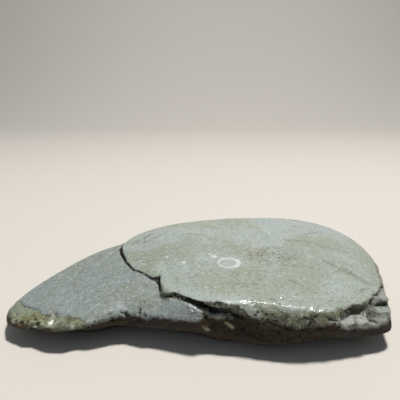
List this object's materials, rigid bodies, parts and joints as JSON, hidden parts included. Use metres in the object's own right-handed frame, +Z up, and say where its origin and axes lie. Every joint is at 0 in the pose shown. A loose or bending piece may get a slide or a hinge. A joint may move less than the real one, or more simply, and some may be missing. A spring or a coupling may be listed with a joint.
{
  "type": "flat river stone",
  "caption": "Flat, water-worn flaky stone: a thick domed upper layer on a thinner one that sticks out as a long tail; it lies flat.",
  "frame": {"origin": "on the ground under the middle of the stone's box", "axes": "+X along the stone, away from the tip of its tail; -Y towards the broken front edge; +Z up"},
  "size_m": [0.2782, 0.1726, 0.0406],
  "materials": {
    "river_stone": "water-worn green-grey slate, damp and faintly glossy"
  },
  "bodies": {
    "root": {"stone": "river_stone"}
  },
  "joints": []
}
